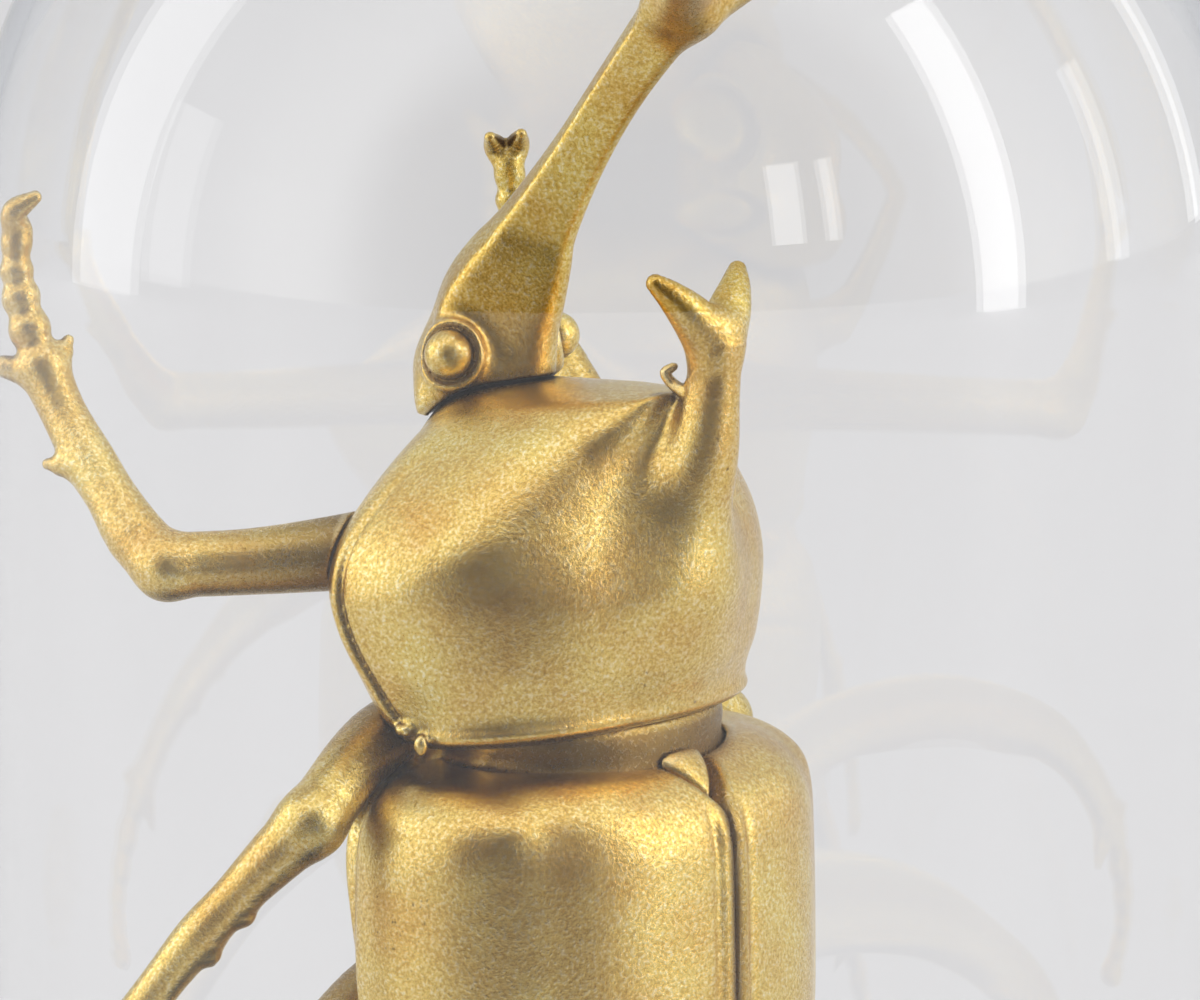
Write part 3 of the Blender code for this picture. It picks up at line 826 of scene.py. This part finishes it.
# ---- Legs -------------------------------------------------------------------------------------
# Six castings, each a thigh, a toothed shin and a beaded foot with two claws, glued to the trunk.
# The right legs mirror the left ones.
# The left legs from root to tip: x, y, z and a radius. BEADS has the radii of a foot's five beads.
LEGS = {
    "front": {
        "thigh": [
            (-22, 19.6, 109.6, 5.6),
            (-30, 23.6, 109.0, 5.1),
            (-40, 30, 108.5, 4.5),
            (-49.6, 36.4, 108.6, 4.4),
        ],
        "shin": [
            (-49.4, 36, 108.0, 4.1),
            (-50.2, 41.4, 112.2, 4.1),
            (-50.3, 46, 117.2, 3.5),
            (-50.3, 50, 121.4, 3.6),
            (-50.4, 55, 127.6, 3.2),
            (-50.5, 58.8, 133.2, 3.6),
        ],
        "foot": [
            (-50.5, 58.0, 131.6),
            (-51.0, 60.0, 136.4),
            (-51.6, 61.6, 140.8),
            (-51.9, 62.6, 144.8),
            (-51.9, 63.0, 148.0),
            (-51.2, 63.0, 152.6),
        ],
    },
    "middle": {
        "thigh": [
            (-20, 20.4, 83.0, 5.8),
            (-27, 19, 82.6, 5.0),
            (-34, 17.2, 80.8, 4.5),
            (-40, 15.8, 77.6, 4.5),
            (-43.6, 15.8, 75.0, 4.7),
        ],
        "shin": [
            (-43.4, 15.6, 75.2, 4.5),
            (-47.0, 18.8, 70.8, 3.9),
            (-51, 23, 64.8, 3.2),
            (-54, 26.6, 59.6, 3.3),
            (-57.6, 30.6, 52.8, 2.9),
            (-61.2, 34.8, 44.6, 3.4),
        ],
        "foot": [
            (-61.0, 34.4, 45.4),
            (-62.8, 37.8, 39.2),
            (-63.6, 40.4, 33.6),
            (-63.8, 42.2, 28.6),
            (-63.2, 43.2, 24.6),
            (-61, 43.6, 19.4),
        ],
    },
    "hind": {
        "thigh": [
            (-14, 22.2, 47.6, 6.0),
            (-22, 23.4, 45.8, 5.4),
            (-30, 23.2, 42.8, 4.8),
            (-37.2, 22.0, 39.6, 4.5),
        ],
        "shin": [
            (-37.0, 21.8, 39.8, 4.2),
            (-40.4, 25.2, 33, 3.9),
            (-43.4, 29.0, 25, 3.3),
            (-46.4, 33.0, 16.8, 3.5),
            (-49.6, 37.2, 7.0, 3.1),
            (-52.4, 40.6, -1.2, 3.8),
        ],
        "foot": [
            (-52.2, 40.2, -0.2),
            (-54.2, 43.6, -6.6),
            (-55.4, 46.0, -12.4),
            (-55.8, 47.6, -17.4),
            (-55.4, 48.4, -21.6),
            (-53.6, 49.0, -27.0),
        ],
    },
}
BEADS = [3.2, 3.1, 2.9, 2.6, 2.4]
# The teeth of each shin: its knot, length (backward if under nought) and lean along the shin.
TEETH = {
    "front": [(3, 3.6, 0.5), (5, 6.0, 0.7), (5, -3.2, 0.8)],
    "middle": [(2, 1.5, 0.7), (3, 1.7, 0.7), (5, 4.6, 0.7), (5, -3.0, 0.8)],
    "hind": [(2, 1.5, 0.7), (3, 1.9, 0.7), (5, 4.6, 0.7), (5, -3.0, 0.8)],
}


def leg_shape(parts, teeth, outward):
    """A leg's depth field. Outward is the way that its shin's teeth point."""
    thigh, shin = route(parts["thigh"], 2.0), route(parts["shin"], 2.0)
    knots = [np.array(knot[:3], float) for knot in parts["shin"]]
    outward = np.array(outward, float)
    outward /= np.linalg.norm(outward)
    spikes = []
    for place, length, lean in teeth:
        run = knots[min(place + 1, 5)] - knots[place - 1]
        run /= np.linalg.norm(run)
        start = knots[place] + outward * math.copysign(1.6, length)
        tip = start + outward * length + run * abs(length) * lean
        spikes.append([(*start, 2.2), (*(start * 0.45 + tip * 0.55), 1.6), (*tip, 0.8)])
    foot = [np.array(point, float) for point in parts["foot"]]
    forward = foot[-1] - foot[-2]
    forward /= np.linalg.norm(forward)
    spread = np.cross(forward, outward)
    claws = []
    for way in (-1, 1):
        root = foot[-1] - forward * 0.8
        bend = root + forward * 2.8 + spread * way * 1.7 + outward * 0.8
        tip = root + forward * 3.8 + spread * way * 2.6 - outward * 2.4
        claws.append(route([(*root, 2.1), (*bend, 1.9), (*tip, 0.9)], 0.8))

    def shape(x, y, z):
        depth = limb(x, y, z, thigh)
        lower = limb(x, y, z, shin)
        depth = soft_min(depth, lower, 1.6)
        for spike in spikes:
            depth = soft_min(depth, limb(x, y, z, spike), 1.2)
        for bead, (start, end) in zip(BEADS, zip(foot, foot[1:])):
            middle = (start + end) / 2
            run = end - start
            long = float(np.linalg.norm(run))
            run /= long
            along = (x - middle[0]) * run[0] + (y - middle[1]) * run[1] + (z - middle[2]) * run[2]
            squared = (x - middle[0]) ** 2 + (y - middle[1]) ** 2 + (z - middle[2]) ** 2
            away = np.sqrt(np.maximum(squared - along**2, 0))
            u, v = along / (long * 0.68), away / bead
            ratio = np.sqrt(u * u + v * v) + 1e-6
            steep = np.sqrt((u / (long * 0.68)) ** 2 + (v / bead) ** 2) + 1e-6
            depth = soft_min(depth, ratio * (ratio - 1) / steep, 1.2)
        for claw in claws:
            depth = soft_min(depth, limb(x, y, z, claw), 0.5)
        return depth

    return shape


OUTWARD = {"front": (-0.55, 0.45, -0.25), "middle": (0.35, -0.5, -0.6), "hind": (-0.2, -0.7, -0.4)}
# Painted shade on a leg is darkest at its root and thins out along the whole of it.
LEG_PAINTED_SHADE = (0.60, 42.0)
for place, parts in LEGS.items():
    plain = leg_shape(parts, TEETH[place], OUTWARD[place])

    def fitted(x, y, z, plain=plain):
        depth = soft_max(plain(x, y, z), 0.35 - trunk(x, y, z), 0.4)
        depth = soft_max(depth, 0.35 - pronotum_shape(x, y, z), 0.4)
        return soft_max(depth, 0.35 - case_left(x, y, z), 0.4)

    node = f"leg_{place}_left"
    near = [plain_trunk, pronotum_shape]
    left = cast(node + "_casting", fitted, node, 0.38, near=near, patina_and_shade_reach=LEG_PAINTED_SHADE, grow=3.0)
    gild(left, node)
    twin = left.data.copy()
    twin.transform(Matrix.Diagonal((-1, 1, 1, 1)))
    twin.flip_normals()
    node = f"leg_{place}_right"
    right = bpy.data.objects.new(node + "_casting", twin)
    bpy.context.scene.collection.objects.link(right)
    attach(right, "root")
    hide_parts(node)

# ---- Glass dome -------------------------------------------------------------------------------
# A bell of clear glass, blown thin, with a half-round top and a fire-polished rim. It stands loose in
# the groove of the plinth.
spring = GLASS_HIGH[2] - glass_radius
inside = glass_radius - GLASS_WALL
rim = GLASS_LOW[2]
glass = turn(
    "blown_dome",
    [
        *reversed(arc(0, spring, glass_radius, 0, 90, 60)),
        (glass_radius, (spring * 2 + rim) / 3),
        (glass_radius, (spring + rim * 2) / 3),
        *arc(glass_radius - GLASS_WALL / 2, rim + GLASS_WALL / 2, GLASS_WALL / 2, 0, -180, 10),
        (inside, (spring + rim * 2) / 3),
        (inside, (spring * 2 + rim) / 3),
        *arc(0, spring, inside, 0, 90, 60),
    ],
    sides=192,
)


def clear_glass():
    """Clear soda glass, whose blown skin is not quite even."""
    material, shader, node, _, link = stock("clear_glass")
    shader.inputs["Base Color"].default_value = (1, 1, 1, 1)
    shader.inputs["Roughness"].default_value = 0.0
    shader.inputs["IOR"].default_value = 1.47
    shader.inputs["Transmission Weight"].default_value = 1.0
    where = node("TexCoord").outputs["Object"]
    blown = node("TexNoise", Vector=where, Scale=14.0, Detail=1.0)
    bump = node("Bump", Height=blown.outputs["Fac"], Strength=0.05, Distance=0.001)
    link(bump.outputs[0], shader.inputs["Normal"])
    return material


glass.data.materials.append(clear_glass())
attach(glass, "root")
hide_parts("glass_dome")

# ---- Table, lights and camera -----------------------------------------------------------------
# A pale table in a bright room that is dimmer behind the camera. Tall strip lamps to both sides put
# the long streaks in the glass and the gleams on the gilding.
floor_mesh = bpy.data.meshes.new("table")
floor_mesh.from_pydata([(-9, -9, 0), (9, -9, 0), (9, 9, 0), (-9, 9, 0)], [], [(0, 1, 2, 3)])
table = bpy.data.objects.new("table", floor_mesh)
bpy.context.scene.collection.objects.link(table)
material, shader, *_ = stock("pale_table")
shader.inputs["Base Color"].default_value = (0.80, 0.80, 0.815, 1)
shader.inputs["Roughness"].default_value = 0.6
table.data.materials.append(material)

VIEW_FROM = math.radians(-50)
VIEW_DOWN = math.radians(10)
VIEW_RANGE = 0.8
LOOK_AT = Vector((0, 0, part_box("body")[0][2] + 114.8 * MM))
FRAME_ACROSS = 0.1644
SENSOR = 36
SHIFT = -1 / 120


def heading(degrees_left, up=0.0):
    """A direction seen from the beetle, turned left from the camera's by some degrees."""
    a = VIEW_FROM - math.radians(degrees_left)
    return Vector((math.sin(a) * math.cos(up), -math.cos(a) * math.cos(up), math.sin(up)))


def lamp(name, degrees_left, distance, height, size, power):
    """A tall panel of light that faces the beetle: metres and watts."""
    light = bpy.data.lights.new(name, "AREA")
    light.shape = "RECTANGLE"
    light.size, light.size_y = size
    light.energy = power
    piece = bpy.data.objects.new(name, light)
    bpy.context.scene.collection.objects.link(piece)
    piece.location = heading(degrees_left) * distance + Vector((0, 0, height))
    aim = LOOK_AT - piece.location
    piece.rotation_euler = aim.to_track_quat("-Z", "Y").to_euler()


lamp("strip_left", 97, 2.6, 1.0, (0.80, 2.4), 9.0)
lamp("strip_left_near", 82, 2.9, 0.7, (0.50, 1.2), 1.4)
lamp("strip_right", -70, 2.6, 1.0, (0.45, 2.4), 10.0)
lamp("strip_right_far", -98, 3.1, 0.8, (0.22, 1.3), 1.2)
lamp("strip_right_last", -124, 3.1, 0.8, (0.24, 1.3), 1.2)
lamp("window_right", -31, 4.2, 1.4, (0.42, 1.0), 3.0)
lamp("window_right_narrow", -39, 4.2, 1.4, (0.18, 1.0), 1.2)

# How bright the room is, from far behind the beetle (0) to behind the camera (1).
ROOM = [
    (0.0, (0.60, 0.61, 0.635)),
    (0.25, (0.66, 0.67, 0.69)),
    (0.50, (1.02, 1.02, 1.03)),
    (0.72, (1.42, 1.40, 1.35)),
    (0.84, (0.42, 0.37, 0.31)),
    (0.93, (0.06, 0.045, 0.03)),
    (1.0, (0.04, 0.03, 0.02)),
]
world = bpy.data.worlds.new("bright_room")
bpy.context.scene.world = world
world.use_nodes = True
tree = world.node_tree
sky = tree.nodes["Background"]
facing = tree.nodes.new("ShaderNodeTexCoord")
toward = tree.nodes.new("ShaderNodeVectorMath")
toward.operation = "DOT_PRODUCT"
toward.inputs[1].default_value = heading(-10)
tree.links.new(facing.outputs["Generated"], toward.inputs[0])
spread = tree.nodes.new("ShaderNodeMapRange")
spread.inputs["From Min"].default_value = -1
tree.links.new(toward.outputs["Value"], spread.inputs["Value"])
shade = tree.nodes.new("ShaderNodeValToRGB")
shade.color_ramp.interpolation = "EASE"
while len(shade.color_ramp.elements) < len(ROOM):
    shade.color_ramp.elements.new(0.5)
for element, (place, colour) in zip(shade.color_ramp.elements, ROOM):
    element.position = place
    element.color = (*colour, 1)
tree.links.new(spread.outputs[0], shade.inputs[0])
tree.links.new(shade.outputs[0], sky.inputs["Color"])
sky.inputs["Strength"].default_value = 1.0

# A dark mat in front of the plinth that only the gilding and the lacquer see.
mat_mesh = bpy.data.meshes.new("dark_mat")
mat_mesh.from_pydata([(-2, 0.2, 0), (2, 0.2, 0), (2, 2.4, 0), (-2, 2.4, 0)], [], [(0, 1, 2, 3)])
mat = bpy.data.objects.new("dark_mat", mat_mesh)
bpy.context.scene.collection.objects.link(mat)
mat.rotation_euler = heading(-10).to_track_quat("Y", "Z").to_euler()
mat.location.z = 0.0005
material, shader, node, _, link = stock("dark_mat")
shader.inputs["Base Color"].default_value = (0.05, 0.04, 0.03, 1)
shader.inputs["Roughness"].default_value = 0.9
place = node("SeparateXYZ", Vector=node("TexCoord").outputs["Object"])
sideways = node("Math", operation="ABSOLUTE", i0=place.outputs["X"])
slant = node("Math", operation="DIVIDE", i0=sideways.outputs[0], i1=place.outputs["Y"])
middle = node(
    "MapRange", interpolation_type="SMOOTHSTEP", Value=slant.outputs[0], From_Min=1.1, From_Max=0.15
)
begun = node("MapRange", Value=place.outputs["Y"], From_Min=0.28, From_Max=0.55)
wedge = node("Math", operation="MULTIPLY", i0=middle.outputs[0], i1=begun.outputs[0])
paths = node("LightPath")
under_glass = node("Math", operation="GREATER_THAN", i0=paths.outputs["Transmission Depth"], i1=2.5)
reflected = node("Math", operation="GREATER_THAN", i0=paths.outputs["Glossy Depth"], i1=0.5)
both = node("Math", operation="MULTIPLY", i0=reflected.outputs[0], i1=under_glass.outputs[0])
seen = node("Math", operation="MULTIPLY", i0=both.outputs[0], i1=wedge.outputs[0])
clear = node("BsdfTransparent")
mixed = node("MixShader", i0=seen.outputs[0], i1=clear.outputs[0], i2=shader.outputs[0])
link(mixed.outputs[0], material.node_tree.nodes["Material Output"].inputs["Surface"])
mat.data.materials.append(material)

camera = bpy.data.cameras.new("camera")
camera.sensor_width = SENSOR
camera.lens = SENSOR * VIEW_RANGE / FRAME_ACROSS
camera.shift_x = SHIFT
camera_piece = bpy.data.objects.new("camera", camera)
bpy.context.scene.collection.objects.link(camera_piece)
camera_piece.location = LOOK_AT + heading(0, VIEW_DOWN) * VIEW_RANGE
camera_piece.rotation_euler = (LOOK_AT - camera_piece.location).to_track_quat("-Z", "Y").to_euler()
bpy.context.scene.camera = camera_piece

bpy.context.scene.view_settings.view_transform = "Standard"
